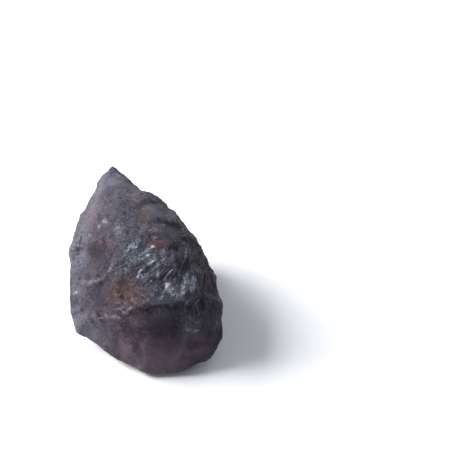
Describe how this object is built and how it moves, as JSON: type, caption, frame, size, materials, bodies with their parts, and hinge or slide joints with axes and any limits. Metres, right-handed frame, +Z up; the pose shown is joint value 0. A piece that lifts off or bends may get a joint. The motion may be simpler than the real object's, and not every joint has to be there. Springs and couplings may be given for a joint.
{
  "type": "iron ore lump",
  "caption": "Broken lump of massive iron ore with a ridged, hackly upper face, shell-shaped chips and a flat underside that it rests on.",
  "frame": {"origin": "on the surface that the lump lies on, under the middle of its bounding box", "axes": "+Z up from the flat underside, +Y from the ridged front foot to the pointed peak at the back, +X to the right seen from the front"},
  "size_m": [0.0812, 0.0938, 0.068],
  "materials": {
    "iron_ore": "dull purple-grey, sub-metallic grey where freshly broken, with rust stains"
  },
  "bodies": {
    "root": {"ore_lump": "iron_ore"}
  },
  "joints": []
}
